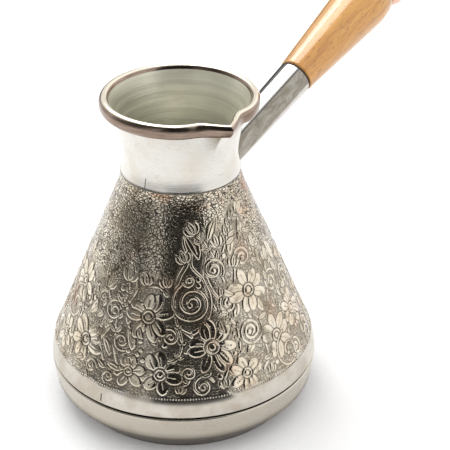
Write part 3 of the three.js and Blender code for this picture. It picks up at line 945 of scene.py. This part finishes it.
# %% Turn the washer and the wood
washer_outline = soften(np.array([
    (SOCKET_END_RADIUS - 0.1, WASHER_START), (SOCKET_END_RADIUS - 0.1, WASHER_START + 0.6),
    (TENON_RADIUS + 0.3, WASHER_START + 0.6), (TENON_RADIUS + 0.3, WASHER_START),
]), 0.12)
joint_washer_fine = turned_piece("joint_washer_fine", washer_outline, 96, HANDLE)
belongs(joint_washer_fine, "washer", "fibre", "joint_washer")

taper = (GRIP_BELLY_RADIUS - GRIP_START_RADIUS) / 43.0
rounded_end = curve(
    (GRIP_BELLY_RADIUS, GRIP_BELLY), (GRIP_BELLY_RADIUS + taper * 4.4, GRIP_BELLY + 4.4),
    (GRIP_BELLY_RADIUS - 0.2, GRIP_END - 2.2), (GRIP_END_RADIUS, GRIP_END), 20,
)
swell = straight((GRIP_START_RADIUS, GRIP_START + 0.4), (GRIP_BELLY_RADIUS, GRIP_BELLY), 40)
grip_outline = soften(np.vstack([
    (TENON_RADIUS, TENON_START), (TENON_RADIUS, GRIP_START), (GRIP_START_RADIUS - 0.25, GRIP_START),
    chain(swell, rounded_end), (6.9, GRIP_END), (6.9, GRIP_END + 5), (ROD_HOLE, GRIP_END + 5),
    (ROD_HOLE, TENON_START),
]), 0.35)
wood_grip_fine = turned_piece("wood_grip_fine", grip_outline, 128, HANDLE, sharp=60)
belongs(wood_grip_fine, "grip", "lacquered_wood", "wood_grip")

# %% Spin the end cap and turn the eye's collar
cap_flare = curve(
    (CAP_THROAT_RADIUS, CAP_START), (CAP_THROAT_RADIUS + 0.2, CAP_START + 1.98),
    (CAP_EDGE_RADIUS, CAP_EDGE - 2.97), (CAP_EDGE_RADIUS, CAP_EDGE), 14,
)
cap_dome = curve(
    (CAP_EDGE_RADIUS, CAP_EDGE), (CAP_EDGE_RADIUS, CAP_EDGE + 4.235),
    (CAP_TOP_RADIUS + 3.2, CAP_END), (CAP_TOP_RADIUS, CAP_END), 18,
)
cap_outside = chain(cap_flare, cap_dome, np.array([(CAP_TOP_RADIUS, CAP_END), (ROD_HOLE, CAP_END)]))
cap_outline = soften(np.concatenate([cap_outside, beside(cap_outside, 1.0)[::-1]]), 0.3)
end_cap_fine = turned_piece("end_cap_fine", cap_outline, 128, HANDLE)
belongs(end_cap_fine, "grip", "copper", "end_cap")

collar_outline = soften(np.array([
    (0, EYE_BORE_END), (ROD_HOLE, EYE_BORE_END), (ROD_HOLE, EYE_START), (4.6, EYE_START),
    (4.6, EYE_COLLAR_END - 2), (2.6, EYE_COLLAR_END), (0, EYE_COLLAR_END),
]), 0.4)
eye_collar = turned_piece("eye_collar", collar_outline, 96, HANDLE)
belongs(eye_collar, "grip", "copper", "hanger_eye")

# %% [markdown]
# ## Swept rings and the beaded line, by Geometry Nodes
#
# The eye, the hanging ring and the row of beads under the pattern follow a circle. Geometry
# Nodes suit them: a circle is swept with a round wire, or a small bead of uneven size is
# repeated along it. Sizes are named inputs of the tree, and the result is made a plain mesh.

# %% Tools for a node tree that makes geometry
def new_group(name, sizes):
    group = bpy.data.node_groups.new(name, "GeometryNodeTree")
    group.interface.new_socket("Geometry", in_out="OUTPUT", socket_type="NodeSocketGeometry")
    kinds = {int: "NodeSocketInt", float: "NodeSocketFloat"}
    for title, value in sizes.items():
        kind = kinds.get(type(value), "NodeSocketMaterial")
        group.interface.new_socket(title, in_out="INPUT", socket_type=kind)
    return group, add(group, "NodeGroupInput").outputs


def add(group, kind, settings=None, inputs=None):
    node = group.nodes.new(kind)
    for name, value in (settings or {}).items():
        setattr(node, name, value)
    for name, value in (inputs or {}).items():
        if isinstance(value, bpy.types.Node):
            value = value.outputs[0]
        if isinstance(value, bpy.types.NodeSocket):
            group.links.new(value, node.inputs[name])
        else:
            node.inputs[name].default_value = value
    return node


def close_group(group, last, metal):
    solid = add(group, "GeometryNodeRealizeInstances", None, {0: last})
    smooth_faces = add(group, "GeometryNodeSetShadeSmooth", None, {0: solid})
    coated = add(group, "GeometryNodeSetMaterial", None, {0: smooth_faces, "Material": metal})
    add(group, "NodeGroupOutput", None, {0: coated})
    return group


def grown(name, group, sizes, matrix=None):
    holder = bpy.data.objects.new(name + "_holder", bpy.data.meshes.new(name + "_holder"))
    bpy.context.scene.collection.objects.link(holder)
    modifier = holder.modifiers.new("Grow", "NODES")
    modifier.node_group = group
    for item in group.interface.items_tree:
        if item.in_out == "INPUT":
            modifier[item.identifier] = sizes[item.name]
    ready = holder.evaluated_get(bpy.context.evaluated_depsgraph_get())
    mesh = bpy.data.meshes.new_from_object(ready)
    bpy.data.objects.remove(holder)
    if matrix is not None:
        mesh.transform(matrix)
    mesh.name = name
    piece = bpy.data.objects.new(name, mesh)
    bpy.context.scene.collection.objects.link(piece)
    print(name, len(mesh.vertices), "corners")
    return piece


copper, copper_look = new_finish("copper")
embossed, embossed_look = new_finish("embossed_plate")

# %% A wire bent into a circle
def ring_sizes(ring, wire, round_steps):
    return {"Ring radius": ring * MM, "Wire radius": wire * MM, "Round steps": round_steps,
            "Wire steps": 24, "Metal": copper}


def wire_ring_group(sizes):
    group, start = new_group("Wire ring", sizes)
    circle = add(group, "GeometryNodeCurvePrimitiveCircle", None,
                 {"Radius": start["Ring radius"], "Resolution": start["Round steps"]})
    section = add(group, "GeometryNodeCurvePrimitiveCircle", None,
                  {"Radius": start["Wire radius"], "Resolution": start["Wire steps"]})
    swept = add(group, "GeometryNodeCurveToMesh", None, {"Curve": circle, "Profile Curve": section})
    return close_group(group, swept, start["Metal"])


eye_sizes = ring_sizes(EYE_LOOP_RADIUS, EYE_WIRE, 96)
wire_ring = wire_ring_group(eye_sizes)
loop_place = Matrix(HANDLE.tolist())
loop_place.translation = loop_place.translation * MM
loop_place = loop_place @ Matrix.Translation((0, 0, EYE_LOOP * MM)) @ Matrix.Rotation(math.pi / 2, 4, "X")
eye_loop = grown("eye_loop", wire_ring, eye_sizes, loop_place)
belongs(eye_loop, "grip", "copper", "hanger_eye")

pivot = HANDLE[:3, 3] + HANDLE[:3, 2] * EYE_LOOP + np.array((0, 0, RING_WIRE_GAP - EYE_WIRE))
ring_centre = Matrix.Translation(Vector(pivot - (0, 0, RING_RADIUS)) * MM)
ring_place = ring_centre @ Matrix.Rotation(math.pi / 2, 4, "Y")
hang_ring_fine = grown("hang_ring_fine", wire_ring, ring_sizes(RING_RADIUS, RING_WIRE, 128), ring_place)
belongs(hang_ring_fine, "ring", "copper", "hang_ring")

# %% The beaded line below the pattern
def bead_group(sizes):
    group, start = new_group("Beaded line", sizes)
    circle = add(group, "GeometryNodeCurvePrimitiveCircle", None,
                 {"Radius": start["Line radius"], "Resolution": 360})
    points = add(group, "GeometryNodeCurveToPoints", {"mode": "COUNT"},
                 {0: circle, "Count": start["Beads"]})
    height = add(group, "ShaderNodeCombineXYZ", None, {2: start["Line height"]})
    lifted = add(group, "GeometryNodeSetPosition", None, {0: points, "Offset": height})
    bead = add(group, "GeometryNodeMeshIcoSphere", None,
               {"Radius": start["Bead radius"], "Subdivisions": 2})
    squeeze = add(group, "ShaderNodeCombineXYZ", None, {0: 1.0, 1: start["Flatness"], 2: 1.0})
    uneven = add(group, "FunctionNodeRandomValue", {"data_type": "FLOAT"}, {2: 0.8, 3: 1.12, "Seed": 11})
    scale = add(group, "ShaderNodeVectorMath", {"operation": "SCALE"},
                {0: squeeze, "Scale": uneven.outputs[1]})
    set_in = add(group, "GeometryNodeInstanceOnPoints", None, {
        0: lifted, "Instance": bead, "Rotation": points.outputs["Rotation"], "Scale": scale,
    })
    return close_group(group, set_in, start["Metal"])


LINE_Z = 25.6
bead_sizes = {
    "Beads": 300, "Line radius": float(np.interp(LINE_Z, ROW_Z, ROW_R) + 0.02) * MM,
    "Line height": LINE_Z * MM, "Bead radius": 0.36 * MM, "Flatness": 1.0, "Metal": embossed,
}
beads = grown("pattern_beads", bead_group(bead_sizes), bead_sizes)
belongs(beads, "pot", "plated_body", "body_shell")

# %% [markdown]
# ## Plated metal
#
# The plating is bright and slightly warm where it is rubbed, and black oxide fills what a
# polishing cloth can't reach. Two stored values say where the oxide is: `pits` in the dents and
# dots, and the other in the pattern's outlines and dotted ground, which also holds a painted
# shadow line just under the neck's edge. `stamped` says where the die has pressed, and
# `hammered` where it left only dents.

# %% Embossed and hammered plate
look = embossed_look
place = look.place()
oxide_and_shadow = look.stored("oxide_and_shadow")
hammered = look.stored("hammered")
stamped_part = look.stored("stamped")
pits = look.stored("pits")
patches = look.grain(place, 0.009, 4.0, 0.6)
fine = look.grain(place, 0.0007, 3.0, 0.55)
warm = look.grain(place, 0.016, 2.0, 0.5)
height = look.axis(place, 2)
brushed = look.brushed(place, (0.02, 0.02, 0.00035))
unstamped = 1.0 - stamped_part
metal = look.colours(patches.between(0.3, 0.7), (0.80, 0.73, 0.61), (0.64, 0.545, 0.41))
metal = look.colours(unstamped, metal, SILVER)
# Painted reflection: the plain band below the pattern is darkened and browned, as if it mirrored the shaded
# floor near the pot; patches and brushing vary it.
band_dark_reflection = unstamped * (0.35 + 0.4 * patches.between(0.35, 0.65) + 0.2 * brushed)
metal = look.colours(band_dark_reflection, metal, (0.42, 0.365, 0.29))
under_neck = hammered * height.between(0.070, 0.089)
warmth = (warm.between(0.52, 0.7) * (0.35 + 0.75 * under_neck)).held()
metal = look.colours(stamped_part * warmth, metal, (0.62, 0.36, 0.22))

wobble = look.shifted(place, 0.0016, 0.0004)
cells = {"Vector": look.stretched(wobble, (0.00135, 0.00135, 0.00085)), "Scale": 1.0}
edges = look.node("ShaderNodeTexVoronoi", {"feature": "DISTANCE_TO_EDGE"}, cells)
crevices = pits * (1.0 - edges.between(0.03, 0.19))
tarnish = stamped_part * look.grain(place, 0.0045, 4.0, 0.6).between(0.5, 0.64) * 0.55
# The stored oxide also carries the painted shadow line under the neck's edge, so that line is darkened here
# too.
dark = (oxide_and_shadow * (0.9 + 0.35 * fine)).most(crevices * (0.7 + 0.5 * fine)).most(tarnish).held()
dark = dark.most(look.mark(place, -175, 0.0195, 0.0228, 0.00035) * 0.85)
rough = 0.055 + 0.04 * fine + 0.22 * dark + 0.03 * patches + 0.12 * unstamped * brushed
look.finish(
    Base_Color=look.colours(dark * 0.97, metal, OXIDE), Metallic=1.0 - 0.06 * dark,
    Roughness=rough, Normal=look.raised(pits * edges.between(0.0, 0.3), 0.000028),
)
print("embossed plate ready")

# %% Plain plate: the neck, and the band where the sheet shows
plain, look = new_finish("plain_plate")
place = look.place()
brushed = look.brushed(place, (0.02, 0.02, 0.00035))
cloudy = look.grain(place, 0.010, 3.0, 0.5)
worn = look.grain(place, 0.0016, 5.0, 0.7)
smudge = look.brushed(place, (0.004, 0.004, 0.002))
# Painted reflection: below about 30 mm the plate is darkened and browned, as if it mirrored the shaded floor
# near the pot.
low_band_reflection = 1.0 - look.axis(place, 2).between(0.028, 0.036)
tint = look.colours(cloudy.between(0.45, 0.75) * 0.5, SILVER, WARM_SILVER)
tint = look.colours(low_band_reflection * (0.35 + 0.5 * cloudy.between(0.35, 0.65)), tint, (0.50, 0.455, 0.39))
tint = look.colours(worn.between(0.62, 0.78) * 0.4, tint, (0.30, 0.25, 0.2))
tint = look.colours(smudge.between(0.55, 0.72) * 0.35, tint, (0.52, 0.44, 0.35))
tint = look.colours(look.mark(place, -174, 0.0928, 0.0965, 0.00028) * 0.8, tint, (0.10, 0.08, 0.06))
look.finish(
    Base_Color=tint, Metallic=1.0, Roughness=0.17 + 0.14 * brushed + 0.08 * cloudy,
    Normal=look.raised(brushed + 0.3 * worn, 0.00003),
)
print("plain plate ready")

# %% The rim, where the plating has worn to a brown gold
worn_rim, look = new_finish("worn_rim")
place = look.place()
streaks = look.brushed(place, (0.006, 0.006, 0.0008), 0.6)
spots = look.grain(place, 0.0018, 4.0, 0.65)
# Painted highlight: a pale cream line along the top of the rim's curl.
crest_highlight = look.axis(place, 2).between((RIM_Z + 1.05) * MM, (RIM_Z + 1.55) * MM)
tint = look.colours(streaks.between(0.3, 0.7), (0.22, 0.16, 0.125), (0.33, 0.25, 0.20))
tint = look.colours(spots.between(0.62, 0.78) * 0.6, tint, (0.20, 0.14, 0.10))
tint = look.colours(crest_highlight * 0.9, tint, (0.86, 0.78, 0.64))
look.finish(
    Base_Color=tint, Metallic=1.0, Roughness=0.11 + 0.1 * streaks + 0.08 * spots,
    Normal=look.raised(streaks, 0.00002),
)
print("rim ready")

# %% Tinned inside
tinned, look = new_finish("tinned_inside")
place = look.place()
brushed = look.brushed(place, (0.03, 0.03, 0.0006), 0.7)
cloudy = look.grain(place, 0.006, 4.0, 0.6)
arcs = look.grain(look.stretched(place, (0.06, 0.06, 0.0022)), 1.0, 3.0, 0.6)
# Painted shade: the inside grows darker towards the left; the brushed arcs mixed in are real streaks.
leftward = look.axis(place, 1) * 0.766 - look.axis(place, 0) * 0.643
shade = leftward.between(0.004, 0.021) * 0.6 + arcs.between(0.35, 0.65) * 0.4
tint = look.colours(shade.held(), (0.76, 0.74, 0.61), (0.40, 0.395, 0.31))
tint = look.colours(cloudy.between(0.45, 0.75) * 0.3, tint, (0.52, 0.50, 0.40))
tint = look.colours(brushed.between(0.5, 0.8) * 0.45, tint, (0.92, 0.91, 0.82))
look.finish(
    Base_Color=tint, Metallic=0.55, Roughness=0.27 + 0.14 * cloudy,
    Normal=look.raised(brushed, 0.00012),
)
print("tinned inside ready")

# %% The base pan's plate, stained where it has been on the fire, with painted shade on its foot, in its groove and towards its right
pan_plate, look = new_finish("pan_plate")
place = look.place()
height = look.axis(place, 2)
brushed = look.brushed(place, (0.02, 0.02, 0.0003))
stain = look.grain(place, 0.012, 4.0, 0.6).between(0.5, 0.72)
# Painted shade: the turned-in foot below the bend is drawn almost black, a painted reflection of the shadow
# on the floor under it.
low = 1.0 - height.between(0.0075, 0.0118)
# Painted shade: the narrow groove under the body's band is drawn in black oxide colour.
groove_shade = height.between(0.0177, 0.0180)
rightward = look.axis(place, 0).between(-0.02, 0.05)
# The fire stains are real, and their growth towards the right is painted shade on that side.
tint = look.colours(stain * (0.25 + 0.5 * rightward), (0.55, 0.505, 0.43), (0.40, 0.29, 0.20))
tint = look.colours(low * 0.92, tint, (0.10, 0.08, 0.062))
tint = look.colours(groove_shade * 0.96, tint, OXIDE)
look.finish(
    Base_Color=tint, Metallic=1.0, Roughness=0.2 + 0.12 * brushed + 0.14 * low + 0.1 * stain,
    Normal=look.raised(brushed, 0.00003),
)
print("pan plate ready")

# %% Polished steel with old flux stains, painted shade on its lower face and painted reflections along it
steel, look = new_finish("socket_steel")
local = look.stored("turned", "Vector")
lengthwise = look.brushed(local, (0.5, 0.5, 14.0), 0.6)
mottle = look.grain(look.stretched(local, (2.2, 2.2, 6.0)), 1.0, 5.0, 0.65, 0.6)
flecks = look.grain(local, 0.7, 4.0, 0.7)
across = look.axis(local, 1) * 0.785 - look.axis(local, 0) * 0.62
# Painted shade: the tube's lower face is darkened; the mottle mixed into it is real flux staining.
underside_shade = 1.0 - across.between(0.3, 0.9)
# Painted reflection: a thin dark line along the tube just above its shaded lower face.
dark_reflection_line = across.between(0.1, 0.6) * (1.0 - across.between(0.8, 1.3))
# Painted reflections: a dark stripe along one edge of the tube and a light strip along the other.
dark_edge_reflection = across.between(4.7, 5.3)
bright_edge_reflection = 1.0 - across.between(-5.9, -5.2)
stains_and_shade = underside_shade * (0.72 + 0.4 * mottle.between(0.3, 0.7))
stains_and_shade = stains_and_shade.most(0.25 * mottle.between(0.5, 0.68)).held()
tint = look.colours(stains_and_shade * 0.95, (0.76, 0.75, 0.72), (0.23, 0.20, 0.155))
tint = look.colours(flecks.between(0.6, 0.75) * 0.5, tint, (0.16, 0.14, 0.12))
tint = look.colours(dark_reflection_line.most(dark_edge_reflection) * 0.85, tint, (0.05, 0.045, 0.04))
tint = look.colours(bright_edge_reflection * 0.6, tint, (0.8, 0.78, 0.74))
look.finish(
    Base_Color=tint, Metallic=1.0, Roughness=0.14 + 0.12 * lengthwise + 0.2 * stains_and_shade,
    Normal=look.raised(lengthwise, 0.00002),
)
print("steel ready")

# %% [markdown]
# ## Copper, wood and fibre
#
# The cap and ring are copper under clear lacquer, so they stay pink. The grip is a pale wood
# stained honey and lacquered: short brown pores run along it, and the lacquer is a clear
# coat over them. Its pattern reads the turned position that was stored before the tilt.

# %% Lacquered copper
look = copper_look
place = look.place()
cloudy = look.grain(place, 0.005, 4.0, 0.6)
spun = look.grain(place, 0.0007, 4.0, 0.6)
tint = look.colours(cloudy.between(0.35, 0.7), (0.74, 0.43, 0.30), (0.60, 0.33, 0.22))
tint = look.colours(spun.between(0.64, 0.8) * 0.4, tint, (0.28, 0.14, 0.09))
look.finish(
    Base_Color=tint, Metallic=1.0, Roughness=0.2 + 0.16 * spun, Coat_Weight=0.25,
    Normal=look.raised(spun, 0.00003),
)
print("copper ready")

# %% Lacquered wood
wood, look = new_finish("lacquered_wood")
local = look.stored("turned", "Vector")
fibres = look.brushed(local, (0.7, 0.7, 22.0), 0.6)
bands = look.grain(look.stretched(local, (3.2, 3.2, 60.0)), 1.0, 3.0, 0.5, 0.8)
pores = look.grain(look.stretched(local, (0.34, 0.34, 3.0)), 1.0, 3.0, 0.5)
specks = look.grain(look.stretched(local, (0.8, 0.8, 4.5)), 1.0, 2.0, 0.5)
tint = look.colours(bands.between(0.3, 0.72), (0.58, 0.275, 0.05), (0.43, 0.17, 0.022))
tint = look.colours(fibres.between(0.35, 0.75) * 0.5, tint, (0.67, 0.37, 0.09))
pore = pores.between(0.57, 0.67) * specks.between(0.36, 0.56)
tint = look.colours(pore * 0.9, tint, (0.22, 0.09, 0.025))
look.finish(
    Base_Color=tint, Metallic=0.0, Roughness=0.38 + 0.15 * fibres, Coat_Weight=1.0,
    Coat_Roughness=0.05, Normal=look.raised(fibres - 0.6 * pore, 0.00006),
)
print("wood ready")

# %% Fibre washer
fibre, look = new_finish("washer_fibre")
speck = look.grain(look.place(), 0.0004, 4.0, 0.7)
tint = look.colours(speck.between(0.4, 0.7), (0.03, 0.022, 0.018), (0.09, 0.06, 0.045))
look.finish(
    Base_Color=tint, Metallic=0.0, Roughness=0.7 + 0.2 * speck, Normal=look.raised(speck, 0.00005),
)
print("fibre ready")

# %% Give each piece its finish
def coat(piece, *materials):
    piece.data.materials.clear()
    for material in materials:
        piece.data.materials.append(material)


for piece in relief:
    coat(piece, embossed)
coat(beads, embossed)
coat(body_sheet, plain, tinned, worn_rim)
coat(solder_bead, plain)
coat(rim_wire_fine, copper)
coat(base_pan_fine, pan_plate, tinned)
for face in base_pan_fine.data.polygons:
    x, y, z = face.center / MM
    inward = face.normal.x * x + face.normal.y * y < -0.1
    face.material_index = 1 if inward or face.normal.z > 0.7 and z < GROOVE_FOOT - 1 else 0
coat(handle_socket_fine, steel)
coat(joint_washer_fine, fibre)
coat(wood_grip_fine, wood)
for piece in (end_cap_fine, eye_collar, eye_loop, hang_ring_fine):
    coat(piece, copper)
for name in ("socket_nut", "handle_rod"):
    coat(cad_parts[name], steel)
for face in body_sheet.data.polygons:
    x, y, z = face.center / MM
    inward = face.normal.x * x + face.normal.y * y < 0
    rim_part = z > RIM_Z - 4.2 and (not inward or z > RIM_Z + 0.3) and math.hypot(x, y) > RIM_RADIUS - 2.2
    face.material_index = 2 if rim_part else 1 if inward else 0
print("all pieces have a finish")

# %% [markdown]
# ## Studio, camera and light
#
# A white floor and a white surround light the metal softly. Polished metal only looks like
# metal when it has something dark to mirror, so what the gloss sees has an upright dark strip
# on the camera's side, smaller dark patches at the left and behind, and a bright panel above.

# %% White floor
floor_mesh = bpy.data.meshes.new("studio_floor")
disc = [(0.62 * math.cos(a), 0.62 * math.sin(a), 0) for a in even(96)]
floor_mesh.from_pydata(disc, [], [tuple(range(96))])
floor = bpy.data.objects.new("studio_floor", floor_mesh)
bpy.context.scene.collection.objects.link(floor)
paper, look = new_finish("studio_paper")
tooth = look.grain(look.place(), 0.002)
shade = look.colours(tooth.between(0.3, 0.7), (0.92, 0.92, 0.92), (0.90, 0.90, 0.90))
look.finish(Base_Color=shade, Roughness=0.9, Specular_IOR_Level=0.0)
coat(floor, paper)
print("floor ready")

# %% Surround
world = bpy.data.worlds.new("studio")
bpy.context.scene.world = world
world.use_nodes = True
look = Look(world.node_tree)
ray = look.node("ShaderNodeLightPath", out="Is Camera Ray")
glossy = look.node("ShaderNodeLightPath", out="Is Glossy Ray")
direction = look.node("ShaderNodeTexCoord", out="Generated")


def toward(azimuth, elevation):
    a, e = math.radians(azimuth), math.radians(elevation)
    return look.dot(direction, (math.cos(a) * math.cos(e), math.sin(a) * math.cos(e), math.sin(e)))


def patch(azimuth, elevation, edge, core):
    return toward(azimuth, elevation).between(math.cos(math.radians(edge)), math.cos(math.radians(core)))


up = look.axis(direction, 2)
behind = toward(60, 10).between(-0.35, 0.6)
rightward = toward(-50, 10).between(0.1, 0.8)
sides = 0.60 + 0.35 * behind + 0.62 * rightward
level = (1.0 - up * up).most(0.02) ** 0.5
turned_to = toward(-131.5, 0) / level
camera_side = turned_to.between(math.cos(math.radians(35)), math.cos(math.radians(31)))
camera_side = camera_side * up.between(-0.09, -0.03) * (1.0 - up.between(0.84, 0.93))
left_side = patch(148, 10, 36, 14)
far_edge = patch(58, -6, 24, 12)
upper_left = patch(165, 46, 32, 16)
overhead = patch(70, 70, 25, 18)
mirrored = sides * (1.0 - 0.98 * camera_side) * (1.0 - 0.72 * left_side) * (1.0 - 0.8 * upper_left)
mirrored = mirrored + (0.95 - mirrored) * (1.0 - up.between(-0.1, -0.03))
mirrored = mirrored * (1.0 - 0.9 * far_edge) * (1.0 - overhead) + 6.5 * overhead
strength = glossy * mirrored + (1.0 - glossy) * (1.0 * ray + 1.18 * (1.0 - ray))
lit = look.node("ShaderNodeBackground", None, {"Color": (1, 1, 1, 1), "Strength": strength})
look.place_node("ShaderNodeOutputWorld", None, {"Surface": lit})
print("surround ready")

# %% Key light
def panel(name, place, target, size, power):
    light = bpy.data.lights.new(name, "AREA")
    light.shape = "RECTANGLE"
    light.size, light.size_y = size
    light.energy = power
    lamp = bpy.data.objects.new(name, light)
    bpy.context.scene.collection.objects.link(lamp)
    lamp.location = place
    lamp.rotation_euler = (Vector(target) - Vector(place)).to_track_quat("-Z", "Y").to_euler()
    return lamp


key = panel("key_panel", (0.25, 0.75, 0.95), (0, 0, 0.06), (0.7, 0.5), 5.0)
print("key panel", key.data.energy, "watts")

# %% Camera
camera_data = bpy.data.cameras.new("camera")
camera_data.lens = 112.0
camera_data.sensor_width = 36.0
camera_data.clip_start = 0.01
camera = bpy.data.objects.new("camera", camera_data)
bpy.context.scene.collection.objects.link(camera)
TILT = math.radians(29.41)
right = Vector((math.cos(math.radians(50)), -math.sin(math.radians(50)), 0))
away = Vector((math.sin(math.radians(50)), math.cos(math.radians(50)), 0))
ahead = away * math.cos(TILT) - Vector((0, 0, math.sin(TILT)))
above_it = right.cross(ahead)
camera.matrix_world = Matrix((right, above_it, -ahead)).transposed().to_4x4()
camera.location = right * 0.0157 - away * 0.44303 + Vector((0, 0, 0.31827))
bpy.context.scene.camera = camera
bpy.context.scene.view_settings.view_transform = "Standard"
print("camera at", [round(v, 4) for v in camera.location])
